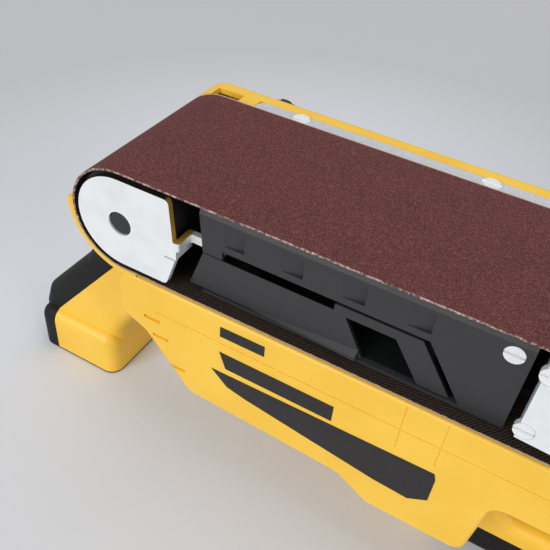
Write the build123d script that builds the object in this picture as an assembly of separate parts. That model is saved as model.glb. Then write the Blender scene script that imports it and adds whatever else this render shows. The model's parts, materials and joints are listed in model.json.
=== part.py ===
from build123d import *
import math
import os

os.makedirs("parts", exist_ok=True)

# Hand-held belt sander, lying on its back with the belt up, as it is set down for stationary work.
# Millimetres. While it is modelled, the origin is the middle of the front axle: X runs to the rear,
# Y to the drive side and Z up to the sanding run. The last lines move it to its own frame, whose
# origin is on the plane that the handles stand on, straight under the drive roller.

# Sanding belt and rollers
belt_length = 533.0
belt_width = 75.0
belt_thickness = 0.9
belt_gap = 0.4
roller_radius = 22.5
roller_length = 68.0
belt_inner = roller_radius + belt_gap
belt_outer = belt_inner + belt_thickness
roller_spacing = belt_length / 2 - math.pi * (belt_inner + belt_thickness / 2)

# Clearances
running_gap = 0.05
slide_gap = 0.3
seat_gap = 0.15

# Front roller, axle and bearings
axle_radius = 5.3
axle_recess = 0.6
front_bearing_radius = 13.0
front_bearing_width = 8.0
bearing_seat_gap = 0.02

# Yoke that carries the front roller
yoke_plate = 2.5
yoke_nose_radius = 20.5
yoke_rear = 26.0
yoke_bottom_rear = 21.5
yoke_corner = 2.2
yoke_lean = 2.5
yoke_overhang = 0.3
tongue_top = 2.0
tongue_bottom = -6.0
tongue_bend = 27.8
tongue_step = 0.6
tongue_low = -1.8
tongue_outer = 29.4
web_x = 40.0
web_thickness = 3.0
bar_width = 18.0
bar_thickness = 3.5
bar_end = 73.0
relief_slit = 0.8
relief_length = 5.0

# Tension slider, its pin, spring and cap
yoke_pin_x = 62.0
yoke_pin_radius = 4.0
yoke_pin_head = 1.6
yoke_pin_head_radius = 6.0
slider_front = 52.0
slider_length = 42.0
slider_width = 26.0
slider_height = 7.0
spring_radius = 3.4
spring_wire = 1.2
spring_turns = 7
spring_length = 30.0
guide_rib = 3.0
guide_cap_thickness = 1.6
guide_cap_length = 46.0

# Aluminium base frame
frame_wall = 3.5
frame_wall_gap = 1.5
beam_front = 36.0
beam_rear = 166.0
beam_near = -28.0
beam_plate = 3.5
beam_rib = 4.0
beam_clear = 12.0
flange_front = 11.5
flange_width = 7.1
flange_screw_inset = 2.7
flange_screw_head_radius = 4.0
flange_screw_head = 1.2
flange_screw_slot = 0.6
flange_thickness = 2.5
flange_top = 20.0
wall_front = 4.0

# Platen
pad_thickness = 2.2
platen_thickness = 1.0
platen_near = -33.0
platen_far = 35.0
platen_lip = 6.0

# Drive roller, shaft and end plate
sleeve_thickness = 2.0
shaft_radius = 5.3
shaft_bearing_radius = 13.0
shaft_bearing_width = 7.0
end_plate = 3.0
end_plate_radius = 19.5

# Drive belt and pulleys
pulley_width = 10.0
pulley_gap = 1.2
driven_radius = 14.0
motor_pulley_radius = 6.0
pulley_rib = 1.0
drive_belt_thickness = 2.0
drive_belt_gap = 0.3

# Motor
motor_x = 128.0
motor_z = -60.5
stator_radius = 29.5
stator_bore = 18.2
stator_near = -10.0
stator_far = 20.0
coil_inner = 20.5
coil_outer = 26.5
coil_reach = 4.4
coil_angle = 96.0
armature_radius = 17.5
armature_slots = 12
winding_radius = 15.0
winding_length = 3.6
commutator_radius = 11.5
commutator_near = -25.0
commutator_length = 10.5
commutator_bars = 24
motor_shaft_radius = 4.0
motor_bearing_radius = 11.0
motor_bearing_width = 6.0
fan_near = 25.0
fan_length = 9.0
fan_radius = 27.0
fan_blades = 14
brush_width = 6.0
brush_height = 8.0
brush_reach = 27.0
holder_wall = 1.6
holder_length = 16.0

# Housing: one yellow shell in two halves, with the rear handle and the stem of the front handle
wall = 3.0
body_near = -36.5
body_front = -5.0
body_far = 38.5
skirt_gap = 2.8
body_round = 2.0
split_y = 5.0
nose_lip = 3.0
nose_gap = 1.2
nose_near = -36.0
nose_start = 178.0
nose_end = 280.0
base_rear = 242.0
base_depth = 60.0
body_front_depth = 83.5
motor_depth = 97.0
motor_front = 121.0
motor_rear = 164.0
seam_depth = 41.0
seam_width = 0.5
seam_cut = 0.3
panel_seam_front = 126.0
panel_seam_rear = 142.0
panel_seam_low = 52.0
slot_length = 8.4
slot_height = 1.8
slot_depth = 1.2
vent_count = 5
vent_width = 3.0
vent_pitch = 6.4
vent_edge = 4.0
vent_handle_gap = 3.0

# Rear handle
handle_width = 30.0
handle_front = 138.0
handle_rear = 268.0
handle_tail = 280.0
tail_low = 11.0
tail_high = 29.0
tail_cut = 4.0
handle_root = 34.0
handle_round = 9.0
loop_front = 170.0
loop_rear = 246.0
loop_depth = 102.0
loop_round = 6.0
grip_bar = 31.0
grip_skin = 1.8
grip_drop = 11.0
grip_front = 152.0
grip_rear = 252.0

# Front handle
stem_round = 7.0
stem_inset = 5.0
knob_front = -84.0
knob_rear = -32.0
knob_near = -16.5
knob_far = 26.5
knob_top = -106.0
foot_skin = 0.8
foot_spare = 20.0
cap_skin = 1.6
stem_top_x = -24.0
stem_top_z = -18.0
stem_bend_x = -50.0
stem_bend_z = -60.0
stem_rear_x = -8.0
stem_rear_z = -68.0
stem_root_x = 14.0
stem_root_z = -62.0
stem_lead = 4.0
stem_rise = 12.0
stem_drop = 8.0
band_x = -20.0
band_z = -44.0
band_width = 12.0

# Side cover and tension lever
cover_outer = -32.0
cover_wall = 1.9
cover_front = 33.0
cover_rear = 158.0
cover_top = 18.8
cover_bevel = 3.0
cover_slope = 2.0
cover_screw_inset = 6.0
cover_rest_front = 6.0
cover_rest_length = 8.0
cover_rest_low = 8.0
cover_rest_drop = 3.0
shelf_reach = 40.0
window_lead = 12.0
neck_gap = 0.5
window_top = 2.2
window_front = 43.6
shelf_top = -20.8
shelf_thickness = 1.4
pocket_count = 4
pocket_first = 53.0
pocket_pitch = 24.2
pocket_width = 9.0
pocket_bottom = 5.3
pocket_height = 9.0
pocket_depth = 1.5
lever_neck_top = -2.2
lever_bar_top = 0.9
lever_bottom = -19.8
lever_step = 90.7
lever_tip = 124.0
lever_slant = 0.68
lever_bar_width = 12.0
lever_bar_height = 4.2
finger_front = 95.4
lever_gap = 3.0
lever_hub_x = 40.4
lever_hub_radius = 4.4
lever_pin_radius = 2.0
lever_lip = 2.6
lip_front = 57.0
lip_height = 3.8
slot_edge = 0.4
slot_bevel = 2.6

# Tracking knob
tracking_x = 16.0
tracking_z = 6.5
tracking_radius = 9.2
tracking_length = 8.0
tracking_screw_radius = 3.0
tracking_tip_gap = 0.8
tracking_flutes = 8

# Drive cover
drive_cover_outer = 58.8
drive_cover_wall = 2.5
drive_cover_front = -21.0
drive_cover_corner = 12.0
drive_cover_rear = 216.0
drive_cover_depth = 26.0
drive_cover_motor_depth = 80.0
drive_cover_round = 4.0
drive_panel_edge = 9.0
drive_panel_depth = 0.8
front_recess = 3.0
front_recess_length = 13.5
front_recess_depth = 4.0

# Switch parts
trigger_front = 184.0
trigger_length = 24.0
trigger_width = 13.0
trigger_proud = 6.0
trigger_travel = 4.5
trigger_inside = 6.0
button_x = 196.0
button_drop = 15.0
button_radius = 5.0
button_proud = 2.6
button_travel = 2.0
switch_length = 34.0
switch_width = 17.0
switch_height = 14.0
capacitor_length = 20.0
capacitor_side = 14.0

# Dust port, cable gland and screws
port_radius = 12.5
port_bore = 10.5
port_length = 26.0
port_flange = 2.5
port_flange_height = 30.0
gland_radius = 7.0
gland_bore = 4.2
gland_proud = 8.0
gland_lead = 0.8
screw_radius = 1.9
screw_head_radius = 3.6
screw_head = 2.4
boss_radius = 4.6
boss_tip_wall = 3.0
screw_tip_room = 0.5
body_boss_back = 40.0
body_boss_rise = 8.0
nose_boss_x = 30.0
nose_boss_rise = 12.0
grip_boss_back = 9.0
grip_boss_rise = 16.0
tail_boss_back = 10.0
tail_boss_rise = 20.0
base_boss_back = 14.0
base_boss_rise = 12.0
cover_screw_depth = 8.0
screw_slot = 1.0
flange_screw_front = 23.0
flange_screw_middle = 108.5
flange_screw_rear = 30.0
flange_screw_depth = 5.0
lug_height = 8.0
lug_width = 8.0

wall_near = belt_width / 2 + frame_wall_gap
wall_far = wall_near + frame_wall
drive_x = roller_spacing
skirt = -belt_outer - skirt_gap
axle_height = loop_depth + grip_bar
rest = -axle_height
grip_depth = loop_depth + grip_drop
button_depth = loop_depth + button_drop
handle_near = split_y - handle_width / 2
handle_far = split_y + handle_width / 2
yoke_near = -belt_width / 2 - yoke_overhang
yoke_far = -yoke_near
pulley_near = wall_far + pulley_gap
pulley_far = pulley_near + pulley_width
platen_top = belt_inner - belt_gap
beam_top = platen_top - platen_thickness - pad_thickness
beam_bottom = -beam_top
shelf_bottom = shelf_top - shelf_thickness
slider_top = -bar_thickness / 2 - slide_gap
slider_bottom = slider_top - slider_height
slider_rear = slider_front + slider_length
spring_stop = slider_rear + spring_length
cover_inner = cover_outer + cover_wall


def block(x0, x1, y0, y1, z0, z1):
    return Pos((x0 + x1) / 2, (y0 + y1) / 2, (z0 + z1) / 2) * Box(x1 - x0, y1 - y0, z1 - z0)


def rod(x, z, radius, y0, y1):
    return Pos(x, (y0 + y1) / 2, z) * Rot(90, 0, 0) * Cylinder(radius, y1 - y0)


def post(x, y, radius, z0, z1):
    return Pos(x, y, (z0 + z1) / 2) * Cylinder(radius, z1 - z0)


def bar(y, z, radius, x0, x1):
    return Pos((x0 + x1) / 2, y, z) * Rot(0, 90, 0) * Cylinder(radius, x1 - x0)


def outline(points, radius=0):
    shape = Polygon(*points, align=None)
    if radius:
        shape = fillet(shape.vertices(), radius)
    return shape


def slab(shape, y0, y1):
    return extrude(Plane.XZ.offset(-y1) * shape, y1 - y0, dir=(0, -1, 0))


def inset(shape, depth):
    if depth == 0:
        return shape
    return offset(shape, -depth, kind=Kind.INTERSECTION)


def round_ends(solid, radius):
    ends = solid.edges().group_by(Axis.Y)
    return fillet(ends[0] + ends[-1], radius)


def ring(x, z, outer, inner, y0, y1):
    return rod(x, z, outer, y0, y1) - rod(x, z, inner, y0, y1)


def around(x, z, count, make):
    return [Pos(x, 0, z) * Rot(0, i * 360 / count, 0) * make for i in range(count)]


# Sanding belt and the front roller


def loop(radius, x, y0, y1):
    return rod(0, 0, radius, y0, y1) + rod(x, 0, radius, y0, y1) + block(0, x, y0, y1, -radius, radius)


def sanding_belt():
    half = belt_width / 2
    return loop(belt_outer, drive_x, -half, half) - loop(belt_inner, drive_x, -half, half)


def front_roller():
    half = roller_length / 2
    drum = rod(0, 0, roller_radius, -half, half)
    drum = chamfer(drum.edges(), 0.6)
    drum -= rod(0, 0, axle_radius + 2, -half, half)
    seat = front_bearing_radius + bearing_seat_gap
    drum -= rod(0, 0, seat, half - front_bearing_width, half)
    drum -= rod(0, 0, seat, -half, front_bearing_width - half)
    return drum


def front_roller_bearings():
    half = roller_length / 2
    bore = axle_radius + running_gap
    far = ring(0, 0, front_bearing_radius, bore, half - front_bearing_width, half)
    near = ring(0, 0, front_bearing_radius, bore, -half, front_bearing_width - half)
    return Compound(children=[near, far])


def front_axle():
    axle = rod(0, 0, axle_radius, yoke_near + axle_recess, yoke_far - axle_recess)
    return chamfer(axle.edges(), 0.4)


# Yoke with its end plates, tongues, web and slide bar


def yoke_plate_outline():
    nose = Circle(yoke_nose_radius)
    r = yoke_nose_radius
    rear = outline(
        [
            (0, r),
            (yoke_rear - yoke_lean, r),
            (yoke_rear, tongue_bottom - relief_slit),
            (yoke_bottom_rear, -r),
            (0, -r),
        ]
    )
    corners = rear.vertices().filter_by(lambda v: v.X > 1 and abs(v.Y) > r - 1)
    return nose + fillet(corners, yoke_corner)


def roller_yoke():
    cheek = yoke_plate_outline()
    near = slab(cheek, yoke_near, yoke_near + yoke_plate)
    near -= rod(0, 0, axle_radius + running_gap, yoke_near, yoke_near + yoke_plate)
    near -= block(
        yoke_rear - relief_length,
        yoke_rear,
        yoke_near,
        yoke_near + yoke_plate,
        tongue_bottom - relief_slit,
        tongue_bottom,
    )
    inner = -tongue_outer + yoke_plate
    tongue = outline(
        [
            (yoke_rear - yoke_plate, yoke_near),
            (tongue_bend, yoke_near),
            (tongue_bend, -tongue_outer),
            (web_x + web_thickness, -tongue_outer),
            (web_x + web_thickness, inner),
            (tongue_bend - yoke_plate, inner),
            (tongue_bend - yoke_plate, yoke_near + yoke_plate),
            (yoke_rear - yoke_plate, yoke_near + yoke_plate),
        ]
    )
    bends = tongue.vertices().filter_by(lambda v: tongue_bend - yoke_plate - 0.1 < v.X < tongue_bend + 0.1)
    tongue = fillet(bends, yoke_plate / 2)
    near += extrude(Pos(0, 0, tongue_bottom) * tongue, tongue_top - tongue_bottom)
    near -= block(yoke_rear + tongue_step, web_x + web_thickness, yoke_near, 0, tongue_bottom, tongue_low)
    both = near + mirror(near, about=Plane.XZ)
    both += block(web_x, web_x + web_thickness, -tongue_outer, tongue_outer, tongue_low, tongue_top)
    slide = block(web_x, bar_end, -bar_width / 2, bar_width / 2, -bar_thickness / 2, bar_thickness / 2)
    slide -= post(yoke_pin_x, 0, yoke_pin_radius + running_gap, -bar_thickness, bar_thickness)
    return both + slide


def yoke_pin():
    head_z = bar_thickness / 2 + slide_gap
    pin = post(yoke_pin_x, 0, yoke_pin_radius, slider_bottom + 1, head_z)
    return pin + post(yoke_pin_x, 0, yoke_pin_head_radius, head_z, head_z + yoke_pin_head)


def tension_slider():
    half = slider_width / 2
    shape = block(slider_front, slider_rear, -half, half, slider_bottom, slider_top)
    shape = chamfer(shape.edges().filter_by(Axis.Z), 1.0)
    shape -= post(yoke_pin_x, 0, yoke_pin_radius, slider_bottom + 1, slider_top)
    return shape


def spring_centre():
    return (slider_top + slider_bottom) / 2


def tension_spring():
    z = spring_centre()
    outer = spring_radius
    wall_line = spring_radius - spring_wire
    pitch = (spring_length - 2 * seat_gap) / spring_turns
    sleeve = bar(0, z, wall_line + spring_wire / 2, slider_rear + seat_gap, spring_stop - seat_gap)
    for i in range(spring_turns):
        x = slider_rear + seat_gap + pitch * (i + 0.5)
        sleeve += bar(0, z, outer, x - spring_wire / 2, x + spring_wire / 2)
    return sleeve - bar(0, z, wall_line, slider_rear, spring_stop)


# Aluminium base frame


def frame_wall_outline():
    points = [
        (wall_front, flange_top),
        (drive_x + belt_outer - 2, flange_top),
        (drive_x + belt_outer - 2, skirt + 4),
        (motor_x + stator_radius + 6, motor_z + stator_radius),
        (motor_x + stator_radius + 6, motor_z - stator_radius),
        (motor_x - stator_radius - 4, motor_z - stator_radius),
        (motor_x - stator_radius - 4, skirt - 6),
        (wall_front, skirt + 4),
    ]
    return outline(points, 7)


def base_frame():
    frame = slab(frame_wall_outline(), wall_near, wall_far)
    flange_far = wall_far + flange_width
    flange = block(
        flange_front,
        drive_x + belt_outer - 2,
        wall_near,
        flange_far,
        flange_top - flange_thickness,
        flange_top,
    )
    outer = flange.edges().filter_by(Axis.Z).sort_by(Axis.Y)[-2:]
    frame += fillet(outer, 4)
    frame += block(beam_front, beam_rear, beam_near, wall_near, beam_top - beam_plate, beam_top)
    low_near = beam_near + beam_clear
    frame += block(spring_stop, beam_rear, low_near, wall_near, beam_bottom, beam_bottom + beam_plate)
    frame += block(spring_stop, spring_stop + beam_rib, low_near, wall_near, beam_bottom, beam_top)
    frame += block(beam_rear - beam_rib, beam_rear, beam_near, wall_near, beam_bottom, beam_top)
    guide = slider_width / 2 + slide_gap
    for side in (-1, 1):
        near = min(side * guide, side * (guide + guide_rib))
        far = max(side * guide, side * (guide + guide_rib))
        frame += block(slider_front - 2, spring_stop, near, far, slider_bottom, beam_top)
    frame += block(slider_front - 2, slider_front + 4, guide, wall_near, beam_top - 2 * beam_plate, beam_top)
    seat = shaft_bearing_radius + bearing_seat_gap
    boss_near = wall_far - shaft_bearing_width
    frame -= rod(drive_x, 0, seat, boss_near, wall_far)
    motor_seat = motor_bearing_radius + bearing_seat_gap
    motor_boss_near = wall_far - motor_bearing_width
    frame += rod(motor_x, motor_z, motor_seat + 3, motor_boss_near, wall_near)
    frame -= rod(motor_x, motor_z, motor_seat, motor_boss_near, wall_far)
    frame -= rod(tracking_x, tracking_z, tracking_screw_radius + running_gap, wall_near, wall_far)
    for x in cover_screw_places():
        frame -= post(x, flange_screw_y(), screw_radius, flange_top - flange_thickness, flange_top)
    for x, z in end_plate_screw_places():
        frame -= rod(x, z, screw_radius, beam_near, beam_near + cover_screw_depth)
    frame += block(
        cover_screw_x() - boss_radius,
        cover_screw_x() + boss_radius,
        beam_near,
        beam_near + 10,
        cover_screw_z() - boss_radius,
        beam_top,
    )
    frame -= rod(cover_screw_x(), cover_screw_z(), screw_radius, beam_near, beam_near + cover_screw_depth)
    return frame


def cover_screw_x():
    return cover_rear - cover_screw_inset


def cover_screw_z():
    return beam_top - beam_plate - boss_radius


def flange_screw_y():
    return wall_far + flange_screw_inset


def cover_screw_places():
    front = flange_front + flange_screw_front
    return [front, flange_front + flange_screw_middle, drive_x - flange_screw_rear]


def guide_cap():
    half = slider_width / 2 + slide_gap + guide_rib
    top = slider_bottom - slide_gap
    front = slider_front - 2
    return block(front, front + guide_cap_length, -half, half, top - guide_cap_thickness, top)


def platen_pad():
    return block(beam_front, beam_rear, platen_near + 1, platen_far - 1, beam_top, beam_top + pad_thickness)


def platen_plate():
    top = beam_top + pad_thickness
    plate = block(beam_front - 2, beam_rear, platen_near, platen_far, top, top + platen_thickness)
    lip = block(
        beam_front - 2 - platen_thickness,
        beam_front - 2,
        cover_inner + slide_gap,
        platen_far,
        top - platen_lip,
        top + platen_thickness,
    )
    return plate + lip


# Drive roller and its shaft


def drive_roller_core():
    half = roller_length / 2
    core = rod(drive_x, 0, roller_radius - sleeve_thickness, -half, half)
    return core - rod(drive_x, 0, shaft_radius, -half, half)


def drive_roller_sleeve():
    half = roller_length / 2
    sleeve = rod(drive_x, 0, roller_radius, -half, half)
    sleeve = chamfer(sleeve.edges(), 0.6)
    return sleeve - rod(drive_x, 0, roller_radius - sleeve_thickness, -half, half)


def end_plate_near():
    return -belt_width / 2


def drive_shaft():
    shaft = rod(drive_x, 0, shaft_radius, end_plate_near() + 0.6, pulley_far)
    return chamfer(shaft.edges(), 0.5)


def drive_shaft_bearings():
    bore = shaft_radius + running_gap
    far = ring(drive_x, 0, shaft_bearing_radius, bore, wall_far - shaft_bearing_width, wall_far)
    near_start = end_plate_near() + end_plate
    near = ring(drive_x, 0, shaft_bearing_radius - 3, bore, end_plate_near(), near_start)
    return Compound(children=[near, far])


def end_plate_screw_places():
    x = beam_rear - beam_rib / 2
    return [(x, beam_top - beam_rib / 2 - 4), (x, beam_bottom + beam_rib / 2 + 4)]


def drive_end_plate():
    y0 = end_plate_near()
    y1 = y0 + end_plate
    front = beam_rear - beam_rib
    tail = outline(
        [
            (front, end_plate_radius - 2),
            (drive_x, end_plate_radius),
            (drive_x, -end_plate_radius),
            (front, 2 - end_plate_radius),
        ]
    )
    plate = slab(tail, y0, y1) + rod(drive_x, 0, end_plate_radius, y0, y1)
    foot = block(front, beam_rear, y0, beam_near, 2 - end_plate_radius, end_plate_radius - 2)
    plate += foot
    plate -= rod(drive_x, 0, shaft_bearing_radius - 3 + bearing_seat_gap, y0, y1)
    for x, z in end_plate_screw_places():
        plate -= rod(x, z, screw_radius + seat_gap, y0, beam_near)
        plate -= rod(x, z, screw_head_radius + seat_gap, y0, y0 + screw_head)
    return plate


def end_plate_screws():
    y0 = end_plate_near()
    tip = beam_near + cover_screw_depth
    return Compound(children=[pan_screw(x, z, y0, tip) for x, z in end_plate_screw_places()])


def pan_screw(x, z, head_y, tip_y):
    side = 1 if tip_y > head_y else -1
    under = head_y + side * screw_head
    low, high = sorted((head_y, under))
    head = rod(x, z, screw_head_radius, low, high)
    slot_low, slot_high = sorted((head_y, head_y + side * screw_head / 2))
    half = screw_slot / 2
    head -= block(x - screw_head_radius, x + screw_head_radius, slot_low, slot_high, z - half, z + half)
    low, high = sorted((under, tip_y))
    return head + rod(x, z, screw_radius, low, high)


# Drive belt and pulleys


def grooved(x, z, radius, bore):
    wheel = rod(x, z, radius, pulley_near, pulley_far)
    grooves = int(pulley_width / (2 * pulley_rib)) - 1
    first = (pulley_near + pulley_far) / 2 - (grooves - 1) * pulley_rib
    for i in range(grooves):
        y = first + 2 * pulley_rib * i
        wheel -= ring(x, z, radius, radius - pulley_rib, y - pulley_rib / 2, y + pulley_rib / 2)
    return wheel - rod(x, z, bore, pulley_near, pulley_far)


def driven_pulley():
    return grooved(drive_x, 0, driven_radius, shaft_radius)


def motor_pulley():
    return grooved(motor_x, motor_z, motor_pulley_radius, motor_shaft_radius)


def belt_band(gap, y0, y1):
    big = driven_radius + gap
    small = motor_pulley_radius + gap
    dx = motor_x - drive_x
    dz = motor_z
    span = math.hypot(dx, dz)
    turn = math.acos((big - small) / span)
    heading = math.atan2(dz, dx)
    points = []
    for side in (-1, 1):
        a = heading + side * turn
        points.append((drive_x + big * math.cos(a), big * math.sin(a)))
        points.append((motor_x + small * math.cos(a), motor_z + small * math.sin(a)))
    straight = outline([points[0], points[1], points[3], points[2]])
    return slab(straight, y0, y1) + rod(drive_x, 0, big, y0, y1) + rod(motor_x, motor_z, small, y0, y1)


def drive_belt():
    y0 = pulley_near + 0.5
    y1 = pulley_far - 0.5
    return belt_band(drive_belt_gap + drive_belt_thickness, y0, y1) - belt_band(drive_belt_gap, y0, y1)


# Motor


def armature_shaft():
    near = commutator_near - 8
    shaft = rod(motor_x, motor_z, motor_shaft_radius, near, pulley_far)
    return chamfer(shaft.edges(), 0.4)


def armature_core():
    core = rod(motor_x, motor_z, armature_radius, stator_near + 1, stator_far - 1)
    slot_depth_in = armature_radius - 9
    cutter = block(armature_radius - slot_depth_in, armature_radius + 1, stator_near, stator_far, -0.9, 0.9)
    for cut in around(motor_x, motor_z, armature_slots, cutter):
        core -= cut
    return core - rod(motor_x, motor_z, motor_shaft_radius, stator_near, stator_far)


def armature_windings():
    near = stator_near + 1
    far = stator_far - 1
    inner = motor_shaft_radius + 1
    ends = [
        ring(motor_x, motor_z, winding_radius, inner, near - winding_length, near),
        ring(motor_x, motor_z, winding_radius, inner, far, far + winding_length),
    ]
    rims = [end.edges().filter_by(GeomType.CIRCLE).sort_by(SortBy.RADIUS)[-2:] for end in ends]
    rounded = [fillet(rim, 1.4) for rim in rims]
    return Compound(children=rounded)


def commutator():
    y1 = commutator_near + commutator_length
    drum = rod(motor_x, motor_z, commutator_radius, commutator_near, y1)
    cutter = block(commutator_radius - 1.5, commutator_radius + 1, commutator_near, y1, -0.25, 0.25)
    for cut in around(motor_x, motor_z, commutator_bars, cutter):
        drum -= cut
    return drum - rod(motor_x, motor_z, motor_shaft_radius, commutator_near, y1)


def motor_fan():
    plate_far = fan_near + 1.6
    fan = rod(motor_x, motor_z, fan_radius, fan_near, plate_far)
    fan += rod(motor_x, motor_z, motor_shaft_radius + 4, fan_near, fan_near + fan_length)
    blade = block(motor_shaft_radius + 7, fan_radius, plate_far - 0.2, fan_near + fan_length, -0.8, 0.8)
    for one in around(motor_x, motor_z, fan_blades, Pos(0, 0, 2) * blade):
        fan += one
    return fan - rod(motor_x, motor_z, motor_shaft_radius, fan_near, fan_near + fan_length)


def motor_bearings():
    bore = motor_shaft_radius + running_gap
    near_y = body_near + wall
    near = ring(motor_x, motor_z, motor_bearing_radius, bore, near_y, near_y + motor_bearing_width)
    far = ring(motor_x, motor_z, motor_bearing_radius, bore, wall_far - motor_bearing_width, wall_far)
    return Compound(children=[near, far])


def coil_sector(inner, outer, y0, y1, angle):
    sector = ring(motor_x, motor_z, outer, inner, y0, y1)
    reach = outer * 2
    half = math.radians(angle / 2)
    wedge = outline([(0, 0), (reach * math.tan(half), reach), (-reach * math.tan(half), reach)])
    return sector & Pos(motor_x, 0, motor_z) * slab(wedge, y0, y1)


def field_coils():
    top = coil_sector(coil_inner, coil_outer, stator_near - coil_reach, stator_far + coil_reach, coil_angle)
    hole = coil_angle - 50
    top -= coil_sector(coil_inner - 1, coil_outer + 1, stator_near - 0.5, stator_far + 0.5, hole)
    low = mirror(top, about=Plane.XY.offset(motor_z))
    return Compound(children=[top, low])


def stator_core():
    core = ring(motor_x, motor_z, stator_radius, stator_bore, stator_near, stator_far)
    y0 = stator_near
    y1 = stator_far
    slot = coil_sector(coil_inner - seat_gap, coil_outer + seat_gap, y0, y1, coil_angle + 2)
    slot -= coil_sector(coil_inner - 1, coil_outer + 1, y0, y1, coil_angle - 52)
    return core - slot - mirror(slot, about=Plane.XY.offset(motor_z))


def brush_y():
    return commutator_near + commutator_length / 2


def brush_bar(half_y, half_z, r0, r1, side):
    x0, x1 = sorted((motor_x + side * r0, motor_x + side * r1))
    return block(x0, x1, brush_y() - half_y, brush_y() + half_y, motor_z - half_z, motor_z + half_z)


def carbon_brushes():
    start = commutator_radius + slide_gap
    pair = [brush_bar(brush_width / 2, brush_height / 2, start, brush_reach, side) for side in (-1, 1)]
    return Compound(children=pair)


def brush_holders():
    start = commutator_radius + 3
    half_y = brush_width / 2 + seat_gap
    half_z = brush_height / 2 + seat_gap
    pair = []
    for side in (-1, 1):
        shell = brush_bar(half_y + holder_wall, half_z + holder_wall, start, start + holder_length, side)
        shell -= brush_bar(half_y, half_z, start, start + holder_length, side)
        foot = brush_bar(half_y + holder_wall, 2.5, start + holder_length - 4, start + holder_length, side)
        foot = Pos(0, 0, -half_z - holder_wall - 2.5) * foot
        pair.append(shell + foot)
    return Compound(children=pair)


# Housing


def body_outline():
    points = [
        (body_front, skirt),
        (base_rear - 18, skirt),
        (base_rear, skirt - 15),
        (base_rear, -base_depth),
        (motor_rear + 3, -base_depth),
        (motor_rear, -motor_depth),
        (motor_front, -motor_depth),
        (motor_front - 15, -body_front_depth - 3.5),
        (31, -body_front_depth),
        (8, -56.5),
        (body_front, -50),
    ]
    return outline(points, 6)


def body_solid(depth):
    solid = slab(inset(body_outline(), depth), body_near + depth, body_far - depth)
    if depth == 0:
        near = solid.edges().group_by(Axis.Y)[0]
        solid = fillet(near, body_round)
    return solid


def loop_outline():
    points = [
        (loop_front, 4 - base_depth),
        (loop_rear - 22, 4 - base_depth),
        (loop_rear, -loop_depth + 8),
        (loop_rear - 6, -loop_depth),
        (loop_front + 10, -loop_depth),
        (loop_front, -loop_depth + 10),
    ]
    return outline(points, 6)


def tail_face():
    return handle_tail - tail_cut


def handle_solid(depth):
    points = [
        (motor_front - 8, 6 - motor_depth),
        (handle_front, rest),
        (handle_rear, rest),
        (handle_tail, rest + tail_low),
        (handle_tail, rest + tail_high),
        (base_rear - 6, -handle_root),
        (motor_rear - 4, -handle_root),
    ]
    solid = slab(inset(outline(points, handle_round + 1), depth), handle_near + depth, handle_far - depth)
    if depth < handle_round:
        solid = round_ends(solid, handle_round - depth)
    solid -= block(tail_face() - depth, handle_tail + 1, handle_near, handle_far, rest, -handle_root)
    solid -= slab(inset(loop_outline(), -depth), handle_near, handle_far)
    if depth < loop_round:
        sides = solid.faces().sort_by(Axis.Y)
        rims = sides[0].inner_wires() + sides[-1].inner_wires()
        solid = fillet(rims.edges(), loop_round - depth)
    return solid


def stem_outline():
    points = [
        (stem_top_x, stem_top_z),
        (stem_bend_x, stem_bend_z),
        (knob_front + stem_lead, knob_top + stem_rise),
        (knob_front, knob_top),
        (knob_front, rest - foot_spare),
        (knob_rear, rest - foot_spare),
        (knob_rear, knob_top),
        (knob_rear + stem_lead, knob_top + stem_drop),
        (stem_rear_x, stem_rear_z),
        (stem_root_x, stem_root_z),
        (stem_root_x, skirt - stem_lead),
    ]
    return outline(points, stem_round + 1)


def foot_outline():
    low = rest - foot_spare
    points = [(knob_front, knob_top), (knob_front, low), (knob_rear, low), (knob_rear, knob_top)]
    return outline(points, stem_round + 1)


def handle_slab(shape, depth, near, far):
    solid = slab(inset(shape, depth), near + depth, far - depth)
    if depth < stem_round:
        solid = round_ends(solid, stem_round - depth)
    return solid


def front_handle(depth):
    solid = handle_slab(stem_outline(), depth, knob_near + stem_inset, knob_far - stem_inset)
    solid += handle_slab(foot_outline(), depth, knob_near, knob_far)
    below = rest - 2 * foot_spare
    return solid - block(knob_front - 1, knob_rear + 1, knob_near, knob_far, below, rest + depth)


def nose_lip_solid():
    inner = belt_outer + nose_gap
    shell = ring(0, 0, inner + nose_lip, inner, nose_near, body_far)
    reach = inner * 3
    start = math.radians(nose_start)
    end = math.radians(nose_end)
    middle = (start + end) / 2
    sector = outline(
        [
            (0, 0),
            (reach * math.cos(start), reach * math.sin(start)),
            (reach * math.cos(middle), reach * math.sin(middle)),
            (reach * math.cos(end), reach * math.sin(end)),
        ]
    )
    return shell & slab(sector, nose_near, body_far)


def front_grip_zone():
    band = outline(
        [
            (band_x, band_z),
            (knob_front + band_width, knob_top),
            (knob_front + band_width, rest),
            (knob_front - band_width, rest),
            (knob_front - band_width, 0),
            (band_x, 0),
        ]
    )
    zone = slab(band, knob_near - 1, knob_far + 1)
    low = rest - 1
    return zone + block(knob_front - 1, knob_rear + 1, knob_near - 1, knob_far + 1, low, rest + foot_skin)


def nose_clear():
    return rod(0, 0, belt_outer + nose_gap, body_near - 1, body_far + 1)


def front_grip():
    skin = front_handle(0) - front_handle(cap_skin)
    return (skin & front_grip_zone()) - nose_clear() - rod(
        0, 0, belt_outer + nose_gap + nose_lip, nose_near, body_far
    )


def rear_grip_zone():
    return block(grip_front, grip_rear, handle_near - 1, handle_far + 1, rest - 1, -grip_depth)


def rear_grip():
    skin = (handle_solid(0) - handle_solid(grip_skin)) & rear_grip_zone()
    return skin - rod(button_x, -button_depth, button_radius + slide_gap, handle_near, handle_near + wall)


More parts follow.
